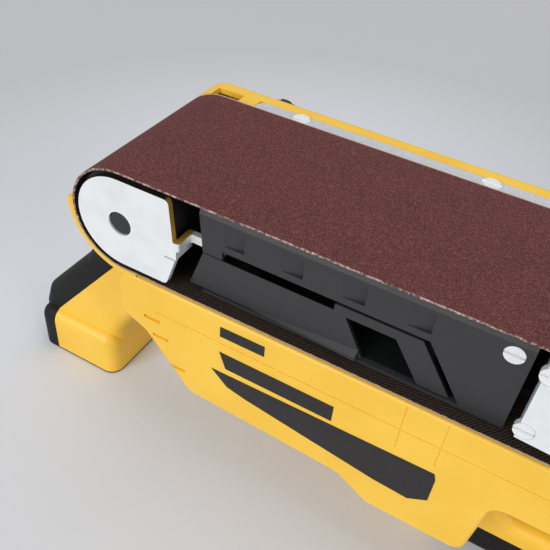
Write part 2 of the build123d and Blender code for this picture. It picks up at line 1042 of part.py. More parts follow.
def boss_places():
    return [
        (motor_front - body_boss_back, -body_front_depth + body_boss_rise),
        (nose_boss_x, -body_front_depth + nose_boss_rise),
        (handle_front + grip_boss_back, rest + grip_boss_rise),
        (handle_rear - tail_boss_back, rest + tail_boss_rise),
        (base_rear - base_boss_back, -base_depth + base_boss_rise),
    ]


def boss_span(x, z):
    in_handle = z < -motor_depth
    near = handle_near + wall if in_handle else body_near + wall
    far = handle_far - wall if in_handle else body_far - wall
    return near, far


def housing_shell():
    shell = body_solid(0) + handle_solid(0) + front_handle(0) + nose_lip_solid()
    shell -= nose_clear()
    shell -= body_solid(wall)
    shell -= handle_solid(wall)
    shell -= front_handle(wall)
    for x, z in boss_places():
        near, far = boss_span(x, z)
        shell += rod(x, z, boss_radius, near - 0.5, far + 0.5)
        shell -= rod(x, z, screw_radius + seat_gap, near + boss_tip_wall, far + wall)
        shell -= rod(x, z, screw_head_radius + seat_gap, far + wall - screw_head, far + wall)
    shell += ring(
        motor_x,
        motor_z,
        motor_bearing_radius + bearing_seat_gap + 2.5,
        motor_bearing_radius + bearing_seat_gap,
        body_near + wall - 0.5,
        body_near + wall + motor_bearing_width,
    )
    shell -= rod(motor_x, motor_z, stator_radius - 1, stator_far, body_far)
    shell += stator_saddle()
    switch_low = switch_top() - switch_height
    shell += seat_ribs(switch_start(), switch_length, switch_width, switch_low, switch_top())
    shell += seat_ribs(capacitor_start(), capacitor_length, capacitor_side, capacitor_low(), capacitor_high())
    shell -= trigger_room()
    shell -= rod(button_x, -button_depth, button_radius + slide_gap, handle_near, handle_near + wall + 1)
    shell -= gland_hole()
    shell -= bar(port_y(), port_z(), port_bore, base_rear - wall - 1, base_rear)
    shell -= rear_grip()
    shell -= front_grip()
    for vent in motor_vents():
        shell -= vent
    return shell


def stator_saddle():
    seat = stator_radius + seat_gap
    saddle = ring(motor_x, motor_z, seat + 12, seat, stator_near + 4, stator_near + 8)
    saddle += ring(motor_x, motor_z, seat + 12, seat, stator_far - 8, stator_far - 4)
    return saddle & body_solid(wall - 0.5)


def seat_ribs(x, length, width, z0, z1):
    near = handle_near + wall - 0.5
    far = handle_far - wall + 0.5
    ribs = block(x + 3, x + 5, near, far, z0, z1) + block(x + length - 5, x + length - 3, near, far, z0, z1)
    half = width / 2 + seat_gap
    return ribs - block(x, x + length, split_y - half, split_y + half, z0 - 1, z1 + 1)


def motor_vents():
    vents = []
    middle = (motor_front + motor_rear) / 2
    sides = [
        (body_near + vent_edge, handle_near - vent_handle_gap),
        (handle_far + vent_handle_gap, body_far - vent_edge),
    ]
    for i in range(vent_count):
        x = middle + (i - (vent_count - 1) / 2) * vent_pitch
        for near, far in sides:
            low = -motor_depth
            vents.append(block(x - vent_width / 2, x + vent_width / 2, near, far, low, low + wall + 1))
    return vents


def near_side():
    return block(knob_front - 20, handle_tail + 20, body_near - 20, split_y, rest - 20, belt_outer + 20)


def surface_slots():
    places = [(8.0, -46.7), (12.2, -55.8), (20.8, -70.5)]
    return [
        block(x, x + slot_length, body_near, body_near + slot_depth, z - slot_height / 2, z + slot_height / 2)
        for x, z in places
    ]


def housing_near():
    half = housing & near_side()
    seam_floor = body_near + seam_cut
    half -= block(stem_root_x, base_rear, body_near, seam_floor, -seam_depth - seam_width, -seam_depth)
    for x in (panel_seam_front, panel_seam_rear):
        half -= block(x, x + seam_width, body_near, seam_floor, -panel_seam_low, skirt)
    for slot in surface_slots():
        half -= slot
    return half


def housing_far():
    return housing - near_side()


def housing_screws():
    screws = []
    for x, z in boss_places():
        near, far = boss_span(x, z)
        screws.append(pan_screw(x, z, far + wall, near + boss_tip_wall + screw_tip_room))
    return Compound(children=screws)


# Side cover and tension lever


def lever_edge(offset_x):
    low = lever_bottom
    run = (lever_bar_top - low) * lever_slant
    return [(lever_tip + offset_x, lever_bar_top), (lever_tip + run + offset_x, low)]


def cover_window():
    top, low = lever_edge(lever_gap)
    slope = (low[0] - top[0]) / (top[1] - low[1])
    return outline(
        [
            (window_front, window_top),
            (top[0] - slope * (window_top - top[1]), window_top),
            (low[0] + slope * (low[1] - shelf_top), shelf_top),
            (cover_front - window_lead, shelf_top),
            (cover_front - window_lead, lever_neck_top + neck_gap),
            (window_front, lever_neck_top + neck_gap),
        ]
    )


def pocket(x):
    y = cover_outer
    left = x - pocket_width
    wedge = Polyline((left, y - 0.5), (x, y - 0.5), (x, y + pocket_depth), (left, y), close=True)
    return extrude(Pos(0, 0, pocket_bottom) * make_face(wedge), pocket_height)


def side_cover():
    panel = outline(
        [
            (cover_front, cover_top),
            (cover_rear, cover_top),
            (cover_rear, shelf_bottom),
            (cover_front + cover_slope, shelf_bottom),
            (cover_front + cover_slope, lever_neck_top),
        ]
    )
    cover = slab(panel, cover_outer, cover_inner)
    top_edge = cover.edges().filter_by(Axis.X).group_by(Axis.Z)[-1].sort_by(Axis.Y)[0]
    cover = chamfer(top_edge, cover_wall * 0.8, cover_bevel)
    cover -= slab(cover_window(), cover_outer, cover_inner)
    shelf_front = cover_front + cover_slope
    cover += block(shelf_front, cover_rear, cover_outer, beam_near + shelf_reach, shelf_bottom, shelf_top)
    for i in range(pocket_count):
        cover -= pocket(pocket_first + i * pocket_pitch)
    cover += block(
        cover_front + cover_rest_front,
        cover_front + cover_rest_front + cover_rest_length,
        cover_inner - 0.1,
        beam_near,
        cover_rest_low,
        cover_top - cover_rest_drop,
    )
    pad_x = cover_screw_x()
    pad_z = cover_screw_z()
    cover += block(
        pad_x - boss_radius,
        pad_x + boss_radius,
        cover_inner - 0.1,
        beam_near,
        pad_z - boss_radius,
        pad_z + boss_radius,
    )
    cover -= rod(pad_x, cover_screw_z(), screw_radius + seat_gap, cover_outer, beam_near)
    cover -= rod(pad_x, cover_screw_z(), screw_head_radius + seat_gap, cover_outer, cover_outer + screw_head)
    cover -= post(lever_hub_x, lever_hub_y(), lever_pin_radius, shelf_bottom, shelf_top)
    return cover


def cover_screw():
    return pan_screw(cover_screw_x(), cover_screw_z(), cover_outer, beam_near + cover_screw_depth)


def lever_hub_y():
    return cover_inner + lever_hub_radius - 1.2


def lever_lip_solid():
    low = lever_bottom
    x1 = finger_front + (lever_bar_top - lever_bar_height - low) * lever_slant - 4
    y = cover_outer
    small = 0.08
    start = Plane((lip_front, 0, 0), x_dir=(0, 1, 0), z_dir=(1, 0, 0))
    end = Plane((x1, 0, 0), x_dir=(0, 1, 0), z_dir=(1, 0, 0))
    faces = []
    for plane, share in ((start, small), (end, 1.0)):
        reach = lever_lip * share
        rise = lip_height * share
        tip = y - reach
        section = outline([(y + 0.4, low), (tip, low), (tip, low + rise * 0.4), (y + 0.4, low + rise)])
        faces.append(plane * section)
    return loft(faces, ruled=True)


def slot_bevel_cut():
    top = lever_neck_top
    edge = cover_outer + slot_edge
    wedge = outline([(edge, top + 0.5), (edge, top), (cover_inner, top - slot_bevel), (cover_inner, top + 0.5)])
    start = Plane((window_front, 0, 0), x_dir=(0, 1, 0), z_dir=(1, 0, 0))
    return extrude(start * wedge, lever_step - window_front)


def tension_lever():
    top, low = lever_edge(0)
    inner_top = lever_bar_top - lever_bar_height
    inner_slope = lever_slant
    finger_rear = top[0] - lever_bar_width + inner_slope * lever_bar_height
    drop = inner_top - lever_bottom
    plate = outline(
        [
            (cover_front + cover_slope, lever_neck_top),
            (lever_step, lever_neck_top),
            (lever_step, lever_bar_top),
            top,
            low,
            (finger_rear + inner_slope * drop, lever_bottom),
            (finger_rear, inner_top),
            (finger_front, inner_top),
            (finger_front + 0.55 * drop, lever_bottom),
            (cover_front - 4, lever_bottom),
        ]
    )
    lever = slab(plate, cover_outer, cover_inner)
    lever -= slot_bevel_cut()
    lever += lever_lip_solid()
    hub_y = lever_hub_y()
    hub_top = tongue_bottom - 1.0
    lever += post(lever_hub_x, hub_y, lever_hub_radius, lever_bottom, hub_top)
    lever += block(
        lever_hub_x,
        lever_hub_x + 16,
        cover_inner - 0.1,
        hub_y + lever_hub_radius - 1.6,
        lever_bottom,
        hub_top,
    )
    lever -= post(lever_hub_x, hub_y, lever_pin_radius + running_gap, lever_bottom, hub_top)
    return lever


def lever_pin():
    return post(lever_hub_x, lever_hub_y(), lever_pin_radius, shelf_bottom, tongue_bottom - 0.8)


# Tracking knob


def tracking_knob():
    y0 = drive_cover_outer + slide_gap
    knob = rod(tracking_x, tracking_z, tracking_radius, y0, y0 + tracking_length)
    knob = fillet(knob.edges().group_by(Axis.Y)[-1], 1.5)
    flute = rod(tracking_radius + 0.6, 0, 1.6, y0 + 1.5, y0 + tracking_length)
    flute = Rot(0, 180 / tracking_flutes, 0) * flute
    for cut in around(tracking_x, tracking_z, tracking_flutes, flute):
        knob -= cut
    return knob - rod(tracking_x, tracking_z, tracking_screw_radius, y0, y0 + tracking_length - 3)


def tracking_screw():
    end = drive_cover_outer + slide_gap + tracking_length - 3
    screw = rod(tracking_x, tracking_z, tracking_screw_radius, yoke_far + tracking_tip_gap, end)
    return chamfer(screw.edges().group_by(Axis.Y)[0], 0.8)


# Drive cover


def drive_cover_outline():
    points = [
        (drive_cover_front, flange_top),
        (drive_cover_rear, flange_top),
        (drive_cover_rear, -drive_cover_depth + 6),
        (motor_x + 34, -drive_cover_motor_depth),
        (motor_x - 22, -drive_cover_motor_depth),
        (motor_x - 42, -drive_cover_depth),
        (drive_cover_front, -drive_cover_depth),
    ]
    return outline(points, drive_cover_corner)


def drive_cover():
    y0 = wall_far + seat_gap
    shape = drive_cover_outline()
    cover = slab(shape, y0, drive_cover_outer)
    cover = fillet(cover.edges().group_by(Axis.Y)[-1], drive_cover_round)
    cover -= slab(inset(shape, drive_panel_edge), drive_cover_outer - drive_panel_depth, drive_cover_outer)
    cover -= slab(inset(shape, drive_cover_wall), y0, drive_cover_outer - drive_cover_wall)
    flange_far = wall_far + flange_width
    cover -= block(
        flange_front - seat_gap,
        drive_x + belt_outer - 2 + seat_gap,
        y0,
        flange_far + seat_gap,
        flange_top - flange_thickness - seat_gap,
        flange_top + 1,
    )
    for x in cover_screw_places():
        lug_top = flange_top - flange_thickness
        lug_low = lug_top - lug_height
        lug = block(x - lug_width / 2, x + lug_width / 2, y0, drive_cover_outer - 1, lug_low, lug_top)
        cover += lug - post(x, flange_screw_y(), screw_radius, lug_top - flange_screw_depth - 1, lug_top)
    cover -= rod(tracking_x, tracking_z, tracking_screw_radius + slide_gap, y0, drive_cover_outer)
    cover -= block(
        front_recess - front_recess_length,
        front_recess,
        y0,
        flange_far,
        flange_top - front_recess_depth,
        flange_top,
    )
    return cover


def drive_cover_screws():
    screws = []
    for x in cover_screw_places():
        low = flange_top - flange_thickness - flange_screw_depth
        screw = post(x, flange_screw_y(), screw_radius, low, flange_top)
        head_top = flange_top + flange_screw_head
        head = post(x, flange_screw_y(), flange_screw_head_radius, flange_top, head_top)
        head = chamfer(head.edges().group_by(Axis.Z)[-1], flange_screw_head / 3)
        head -= block(
            x - flange_screw_head_radius,
            x + flange_screw_head_radius,
            flange_screw_y() - screw_slot / 2,
            flange_screw_y() + screw_slot / 2,
            head_top - flange_screw_slot,
            head_top,
        )
        screws.append(screw + head)
    return Compound(children=screws)


# Switch parts


def trigger_room():
    x0 = trigger_front - slide_gap
    x1 = trigger_front + trigger_length + slide_gap
    half = trigger_width / 2 + slide_gap
    return block(x0, x1, split_y - half, split_y + half, -loop_depth - wall - 1, -loop_depth + 6)


def trigger():
    half = trigger_width / 2
    x0 = trigger_front
    x1 = trigger_front + trigger_length
    z0 = -loop_depth - trigger_inside
    z1 = -loop_depth + trigger_proud
    shape = outline(
        [
            (x0, z0),
            (x1, z0),
            (x1, z1 - 1),
            ((x0 + x1) / 2, z1 - 2.2),
            (x0, z1 - 1),
        ]
    )
    key = slab(shape, split_y - half, split_y + half)
    top = key.edges().filter_by(Axis.Y).group_by(Axis.Z)[-1]
    return fillet(top, 1.2)


def switch_top():
    return -loop_depth - trigger_inside - trigger_travel - slide_gap


def switch_start():
    return trigger_front - 5


def switch_body():
    half = switch_width / 2
    x0 = switch_start()
    z1 = switch_top()
    return block(x0, x0 + switch_length, split_y - half, split_y + half, z1 - switch_height, z1)


def lock_button():
    inner = handle_near + wall + 1 + button_travel
    cap = rod(button_x, -button_depth, button_radius, handle_near - button_proud, inner - button_travel)
    return fillet(cap.edges().group_by(Axis.Y)[0], 1.2)


def capacitor_start():
    return switch_start() + switch_length + 4


def capacitor_low():
    return rest + wall + 2


def capacitor_high():
    return capacitor_low() + capacitor_side


def suppressor_capacitor():
    x0 = capacitor_start()
    half = capacitor_side / 2
    can = block(x0, x0 + capacitor_length, split_y - half, split_y + half, capacitor_low(), capacitor_high())
    return fillet(can.edges().filter_by(Axis.X), 3)


# Dust port and cable gland


def port_y():
    return handle_near - port_radius - 0.5


def port_z():
    return -(base_depth - skirt) / 2


def dust_port():
    high = port_flange_height / 2
    near = port_y() - port_radius
    far = port_y() + port_radius
    plate = block(base_rear, base_rear + port_flange, near, far, port_z() - high, port_z() + high)
    plate = fillet(plate.edges().filter_by(Axis.X), 5)
    tube = bar(port_y(), port_z(), port_radius, base_rear, base_rear + port_length)
    tube = chamfer(tube.edges().group_by(Axis.X)[-1], 1)
    return (plate + tube) - bar(port_y(), port_z(), port_bore, base_rear, base_rear + port_length)


def gland_z():
    return rest + 18


def gland_hole():
    radius = gland_radius + seat_gap
    mouth = Rot(0, 90, 0) * Cone(radius, radius + gland_lead, gland_lead)
    hole = bar(split_y, gland_z(), radius, handle_tail - 16, handle_tail + 1)
    return hole + Pos(tail_face() - gland_lead / 2, split_y, gland_z()) * mouth


def cable_gland():
    x0 = handle_tail - 14
    x1 = handle_tail + gland_proud
    gland = bar(split_y, gland_z(), gland_radius, x0, x1)
    gland = chamfer(gland.edges().group_by(Axis.X)[-1], 1.5)
    return gland - bar(split_y, gland_z(), gland_bore, x0, x1)


housing = housing_shell()
pieces = [
    sanding_belt,
    front_roller,
    front_roller_bearings,
    front_axle,
    roller_yoke,
    yoke_pin,
    tension_slider,
    tension_spring,
    base_frame,
    guide_cap,
    platen_pad,
    platen_plate,
    drive_roller_core,
    drive_roller_sleeve,
    drive_shaft,
    drive_shaft_bearings,
    drive_end_plate,
    end_plate_screws,
    driven_pulley,
    motor_pulley,
    drive_belt,
    armature_shaft,
    armature_core,
    armature_windings,
    commutator,
    motor_fan,
    motor_bearings,
    field_coils,
    stator_core,
    carbon_brushes,
    brush_holders,
    housing_near,
    housing_far,
    housing_screws,
    rear_grip,
    front_grip,
    side_cover,
    cover_screw,
    tension_lever,
    lever_pin,
    tracking_knob,
    tracking_screw,
    drive_cover,
    drive_cover_screws,
    trigger,
    switch_body,
    lock_button,
    suppressor_capacitor,
    dust_port,
    cable_gland,
]

own_frame = Pos(-drive_x, 0, axle_height)
for make in pieces:
    export_step(own_frame * make(), f"parts/{make.__name__}.step")
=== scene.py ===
import json
import math

import bmesh
import bpy
from mathutils import Matrix, Vector, noise


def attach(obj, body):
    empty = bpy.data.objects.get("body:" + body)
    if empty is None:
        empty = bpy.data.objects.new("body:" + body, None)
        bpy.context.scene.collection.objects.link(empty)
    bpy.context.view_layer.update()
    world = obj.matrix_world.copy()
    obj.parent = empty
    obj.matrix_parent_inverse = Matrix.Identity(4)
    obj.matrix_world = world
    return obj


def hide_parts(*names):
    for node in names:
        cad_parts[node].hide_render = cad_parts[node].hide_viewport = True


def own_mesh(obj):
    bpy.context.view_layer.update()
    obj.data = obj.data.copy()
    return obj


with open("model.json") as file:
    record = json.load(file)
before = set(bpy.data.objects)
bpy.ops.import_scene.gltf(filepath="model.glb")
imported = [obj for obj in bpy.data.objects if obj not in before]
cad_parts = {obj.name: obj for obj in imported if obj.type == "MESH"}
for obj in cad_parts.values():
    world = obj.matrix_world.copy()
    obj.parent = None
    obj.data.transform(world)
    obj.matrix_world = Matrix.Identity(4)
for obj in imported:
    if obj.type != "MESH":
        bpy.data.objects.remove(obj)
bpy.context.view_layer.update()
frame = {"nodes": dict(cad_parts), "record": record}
nodes = frame["nodes"]
print("frame loaded:", len(nodes), "nodes")

# places shared with the part, in metres
axleHeight = 0.133
rollerSpacing = 0.193144
sideFace = -0.0365  # outer face of the near housing half


def fromAxle(x, z):
    # a side view place measured from the front axle, in mm
    return (x / 1000 - rollerSpacing, z / 1000 + axleHeight)


def linear(code):
    # sRGB hex to linear, opaque
    parts = [int(code[i:i + 2], 16) / 255 for i in (0, 2, 4)]
    return [p / 12.92 if p <= 0.04045 else ((p + 0.055) / 1.055) ** 2.4 for p in parts] + [1.0]


def perMetre(sizeMm):
    return 1000 / sizeMm


def addNode(tree, kind, settings=None, links=None):
    node = tree.nodes.new(kind)
    for key, value in (settings or {}).items():
        if key in node.inputs:
            node.inputs[key].default_value = value
        else:
            setattr(node, key, value)
    for key, source in (links or {}).items():
        tree.links.new(source, node.inputs[key])
    return node


def startMaterial(name, roughness, metallic=0.0, ior=1.5, specular=0.5):
    material = bpy.data.materials.new(name)
    material.use_nodes = True
    shader = material.node_tree.nodes["Principled BSDF"]
    shader.inputs["Roughness"].default_value = roughness
    shader.inputs["Metallic"].default_value = metallic
    shader.inputs["IOR"].default_value = ior
    shader.inputs["Specular IOR Level"].default_value = specular
    place = addNode(material.node_tree, "ShaderNodeTexCoord")
    return material, material.node_tree, shader, place.outputs["Object"]


def rampStops(node, tones):
    ramp = node.color_ramp
    while len(ramp.elements) < len(tones):
        ramp.elements.new(0.5)
    for element, (position, code) in zip(ramp.elements, tones):
        element.position = position
        element.color = linear(code)


yellowSettings = {
    "tones": [(0.3, "F1BD33"), (0.62, "F6C63F")],  # worn, fresh
    "cloudMm": 34,
    "grainMm": 0.55,
    "roughness": 0.4,
    "gloss": (0.32, 0.46),
    "ior": 1.53,
    "bump": {"Strength": 0.12, "Distance": 0.0001},
}


def yellowAbs():
    # ABS moulded in a spark-eroded tool: even warm yellow, satin, with a faint orange-peel grain
    material, tree, shader, place = startMaterial(
        "yellowMouldedAbs", yellowSettings["roughness"], ior=yellowSettings["ior"]
    )
    scale = perMetre(yellowSettings["cloudMm"])
    cloud = addNode(tree, "ShaderNodeTexNoise", {"Scale": scale, "Detail": 3.0}, {"Vector": place})
    tint = addNode(tree, "ShaderNodeValToRGB", links={"Fac": cloud.outputs["Fac"]})
    rampStops(tint, yellowSettings["tones"])
    tree.links.new(tint.outputs["Color"], shader.inputs["Base Color"])
    scale = perMetre(yellowSettings["grainMm"])
    grain = addNode(tree, "ShaderNodeTexNoise", {"Scale": scale, "Detail": 2.0}, {"Vector": place})
    height = grain.outputs["Fac"]
    low, high = yellowSettings["gloss"]
    gloss = addNode(tree, "ShaderNodeMapRange", {"To Min": low, "To Max": high}, {"Value": height})
    tree.links.new(gloss.outputs["Result"], shader.inputs["Roughness"])
    bump = addNode(tree, "ShaderNodeBump", yellowSettings["bump"], {"Height": height})
    tree.links.new(bump.outputs["Normal"], shader.inputs["Normal"])
    return material


zincSettings = {
    "tones": [(0.32, "ECF0F1"), (0.6, "F6F9FA")],
    "straw": "C79A3A",
    # tone of the sheared edges under the belt: painted shade for the belt's shadow
    "darkEdgeTone": "2C2820",
    "cloudMm": 12,
    "rollMm": 1.1,
    "rollStretch": (0.08, 1.0, 1.0),
    "roughness": 0.42,
    "gloss": (0.36, 0.5),
    "metallic": 0.45,
    "bump": {"Strength": 0.06, "Distance": 0.0001},
    # how far a sheared edge may look to the side: none to full
    "shearedY": (0.6, 0.25),
    # where the edges colour, in mm from the axle: none to full
    "edgeZ": (1.2, 1.8),
    # edges short of the first X take the painted shade, edges past the second are straw
    "strawX": (21.5, 23.0),
    "tongueX": (28.2, 27.6),
}


def zincPlate():
    # cold-rolled steel, bright zinc plated: pale blue-white faces. Its sheared edges are straw from the
    # passivate; under the belt they carry a painted shade instead, dark as the belt's shadow
    material, tree, shader, place = startMaterial(
        "zincPlatedSheet", zincSettings["roughness"], metallic=zincSettings["metallic"]
    )
    scale = perMetre(zincSettings["cloudMm"])
    cloud = addNode(tree, "ShaderNodeTexNoise", {"Scale": scale, "Detail": 4.0}, {"Vector": place})
    face = addNode(tree, "ShaderNodeValToRGB", links={"Fac": cloud.outputs["Fac"]})
    rampStops(face, zincSettings["tones"])
    # a sheared edge is a face that looks neither to the near side nor to the far one
    surface = addNode(tree, "ShaderNodeNewGeometry")
    split = addNode(tree, "ShaderNodeSeparateXYZ", links={"Vector": surface.outputs["Normal"]})
    side = addNode(tree, "ShaderNodeMath", {"operation": "ABSOLUTE"}, {0: split.outputs["Y"]})
    spot = addNode(tree, "ShaderNodeSeparateXYZ", links={"Vector": place})
    limits = [
        (side.outputs["Value"], zincSettings["shearedY"]),
        (spot.outputs["Z"], [fromAxle(0, mm)[1] for mm in zincSettings["edgeZ"]]),
        (spot.outputs["X"], [fromAxle(mm, 0)[0] for mm in zincSettings["tongueX"]]),
        (spot.outputs["X"], [fromAxle(mm, 0)[0] for mm in zincSettings["strawX"]]),
    ]
    shares = []
    for source, (none, full) in limits:
        span = {"From Min": none, "From Max": full}
        reach = addNode(tree, "ShaderNodeMapRange", span, {"Value": source})
        shares.append(reach.outputs["Result"])
    sheared, raised, shortOfTongue, clearOfPaintedShade = shares
    share = sheared
    for limit in (raised, shortOfTongue):
        both = {0: share, 1: limit}
        share = addNode(tree, "ShaderNodeMath", {"operation": "MULTIPLY"}, both).outputs["Value"]
    # edge colour: painted shade under the belt, straw further back
    edge = addNode(
        tree,
        "ShaderNodeMix",
        {"data_type": "RGBA", "A": linear(zincSettings["darkEdgeTone"]), "B": linear(zincSettings["straw"])},
        {"Factor": clearOfPaintedShade},
    )
    mix = addNode(
        tree,
        "ShaderNodeMix",
        {"data_type": "RGBA"},
        {"Factor": share, "A": face.outputs["Color"], "B": edge.outputs["Result"]},
    )
    tree.links.new(mix.outputs["Result"], shader.inputs["Base Color"])
    # faint lines of the rolling, along the sheet
    stretch = addNode(tree, "ShaderNodeMapping", {"Scale": zincSettings["rollStretch"]}, {"Vector": place})
    scale = perMetre(zincSettings["rollMm"])
    roll = addNode(
        tree, "ShaderNodeTexNoise", {"Scale": scale, "Detail": 2.0}, {"Vector": stretch.outputs["Vector"]}
    )
    height = roll.outputs["Fac"]
    low, high = zincSettings["gloss"]
    gloss = addNode(tree, "ShaderNodeMapRange", {"To Min": low, "To Max": high}, {"Value": height})
    tree.links.new(gloss.outputs["Result"], shader.inputs["Roughness"])
    bump = addNode(tree, "ShaderNodeBump", zincSettings["bump"], {"Height": height})
    tree.links.new(bump.outputs["Normal"], shader.inputs["Normal"])
    return material


plainSettings = {
    "toneStops": (0.3, 0.7),
    "metalGloss": (-0.08, 0.1),  # below and above the finish's own roughness
    "polymerIor": 1.52,
    "bumpDepth": 0.0002,
}


def plainMetal(name, dark, light, grainMm, rough, bumpBy, metallic=1.0):
    # shared build for the plainer metals: two close tones, grain in roughness and bump
    material, tree, shader, place = startMaterial(name, rough, metallic=metallic)
    scale = perMetre(grainMm)
    grain = addNode(tree, "ShaderNodeTexNoise", {"Scale": scale, "Detail": 4.0}, {"Vector": place})
    height = grain.outputs["Fac"]
    tint = addNode(tree, "ShaderNodeValToRGB", links={"Fac": height})
    rampStops(tint, list(zip(plainSettings["toneStops"], (dark, light))))
    tree.links.new(tint.outputs["Color"], shader.inputs["Base Color"])
    less, more = plainSettings["metalGloss"]
    spread = {"To Min": rough + less, "To Max": rough + more}
    gloss = addNode(tree, "ShaderNodeMapRange", spread, {"Value": height})
    tree.links.new(gloss.outputs["Result"], shader.inputs["Roughness"])
    depth = {"Strength": bumpBy, "Distance": plainSettings["bumpDepth"]}
    bump = addNode(tree, "ShaderNodeBump", depth, {"Height": height})
    tree.links.new(bump.outputs["Normal"], shader.inputs["Normal"])
    return material


def plainPolymer(name, dark, light, grainMm, rough, bumpBy, specular=0.4):
    # shared build for nylon, rubber, carbon and film: two close tones with a fine surface grain
    material, tree, shader, place = startMaterial(
        name, rough, ior=plainSettings["polymerIor"], specular=specular
    )
    scale = perMetre(grainMm)
    grain = addNode(tree, "ShaderNodeTexNoise", {"Scale": scale, "Detail": 3.0}, {"Vector": place})
    height = grain.outputs["Fac"]
    tint = addNode(tree, "ShaderNodeValToRGB", links={"Fac": height})
    rampStops(tint, list(zip(plainSettings["toneStops"], (dark, light))))
    tree.links.new(tint.outputs["Color"], shader.inputs["Base Color"])
    depth = {"Strength": bumpBy, "Distance": plainSettings["bumpDepth"]}
    bump = addNode(tree, "ShaderNodeBump", depth, {"Height": height})
    tree.links.new(bump.outputs["Normal"], shader.inputs["Normal"])
    return material


gritSettings = {
    "tones": [(0.3, "3F2322"), (0.52, "613635"), (0.74, "8F605C")],
    "gritMm": 0.5,
    "patchMm": 14,
    "patchShade": (0.88, 1.08),
    "roughness": 0.82,
    "specular": 0.2,
    "bump": {"Strength": 0.5, "Distance": 0.0003},
    # the chipped strip: its tone, and where it starts and is full across Y
    "chipped": "C9AEA4",
    "chipFrom": 0.0366,
    "chipFull": 0.0371,
}


def abrasiveGrit():
    # brown aluminium oxide in resin on cloth: maroon, dull, speckled. True grit is 0.2 mm, drawn
    # coarser to show
    material, tree, shader, place = startMaterial(
        "aluminiumOxideGrit", gritSettings["roughness"], specular=gritSettings["specular"]
    )
    speckle = {"Scale": perMetre(gritSettings["gritMm"]), "Detail": 3.0, "Roughness": 0.7}
    grit = addNode(tree, "ShaderNodeTexNoise", speckle, {"Vector": place})
    height = grit.outputs["Fac"]
    tint = addNode(tree, "ShaderNodeValToRGB", links={"Fac": height})
    rampStops(tint, gritSettings["tones"])
    scale = perMetre(gritSettings["patchMm"])
    patch = addNode(tree, "ShaderNodeTexNoise", {"Scale": scale, "Detail": 2.0}, {"Vector": place})
    low, high = gritSettings["patchShade"]
    shade = addNode(
        tree, "ShaderNodeMapRange", {"To Min": low, "To Max": high}, {"Value": patch.outputs["Fac"]}
    )
    toned = addNode(
        tree,
        "ShaderNodeVectorMath",
        {"operation": "SCALE"},
        {"Vector": tint.outputs["Color"], "Scale": shade.outputs["Result"]},
    )
    # along the far slit edge, where the belt has run against the flange, grit is chipped off the cloth
    split = addNode(tree, "ShaderNodeSeparateXYZ", links={"Vector": place})
    chip = addNode(
        tree,
        "ShaderNodeMapRange",
        {"From Min": gritSettings["chipFrom"], "From Max": gritSettings["chipFull"]},
        {"Value": split.outputs["Y"]},
    )
    mix = addNode(
        tree,
        "ShaderNodeMix",
        {"data_type": "RGBA", "B": linear(gritSettings["chipped"])},
        {"Factor": chip.outputs["Result"], "A": toned.outputs["Vector"]},
    )
    tree.links.new(mix.outputs["Result"], shader.inputs["Base Color"])
    bump = addNode(tree, "ShaderNodeBump", gritSettings["bump"], {"Height": height})
    tree.links.new(bump.outputs["Normal"], shader.inputs["Normal"])
    return material


clothSettings = {
    "tones": [(0.12, "17110E"), (0.62, "4A3C2F")],
    "threadMm": 0.55,
    "twill": math.radians(38),
    "roughness": 0.78,
    "specular": 0.25,
    "bump": {"Strength": 0.5, "Distance": 0.0003},
}
waveBands = 20 / math.pi  # bands to the unit in a wave texture at a scale of 1


def backingCloth():
    # resin-soaked cotton twill: dark brown, slanting ribs, loose flecks. Threads are drawn twice their
    # real width to show
    material, tree, shader, place = startMaterial(
        "cottonTwillBacking", clothSettings["roughness"], specular=clothSettings["specular"]
    )
    scale = perMetre(clothSettings["threadMm"])
    slant = {"Rotation": (0, 0, clothSettings["twill"])}
    turn = addNode(tree, "ShaderNodeMapping", slant, {"Vector": place})
    weave = {"Scale": scale / waveBands, "Distortion": 3.4, "Detail": 4.0, "Detail Scale": 2.5}
    rib = addNode(tree, "ShaderNodeTexWave", weave, {"Vector": turn.outputs["Vector"]})
    fleck = addNode(tree, "ShaderNodeTexNoise", {"Scale": scale, "Detail": 2.0}, {"Vector": place})
    both = {0: rib.outputs["Fac"], 1: fleck.outputs["Fac"]}
    thread = addNode(tree, "ShaderNodeMath", {"operation": "MULTIPLY"}, both)
    height = thread.outputs["Value"]
    tint = addNode(tree, "ShaderNodeValToRGB", links={"Fac": height})
    rampStops(tint, clothSettings["tones"])
    tree.links.new(tint.outputs["Color"], shader.inputs["Base Color"])
    bump = addNode(tree, "ShaderNodeBump", clothSettings["bump"], {"Height": height})
    tree.links.new(bump.outputs["Normal"], shader.inputs["Normal"])
    return material


slitSettings = {
    "tones": [(0.42, "5C3B37"), (0.7, "D6BFB6")],
    "darkEdgeTone": "A58C70",
    "fleckMm": 1.3,
    "roughness": 0.85,
    "specular": 0.3,
    "bump": {"Strength": 0.6, "Distance": 0.0003},
    # the edge turns to the darker tone below these heights, in metres
    "lowerRunFrom": axleHeight - 0.012,
    "lowerRunFull": axleHeight - 0.021,
}


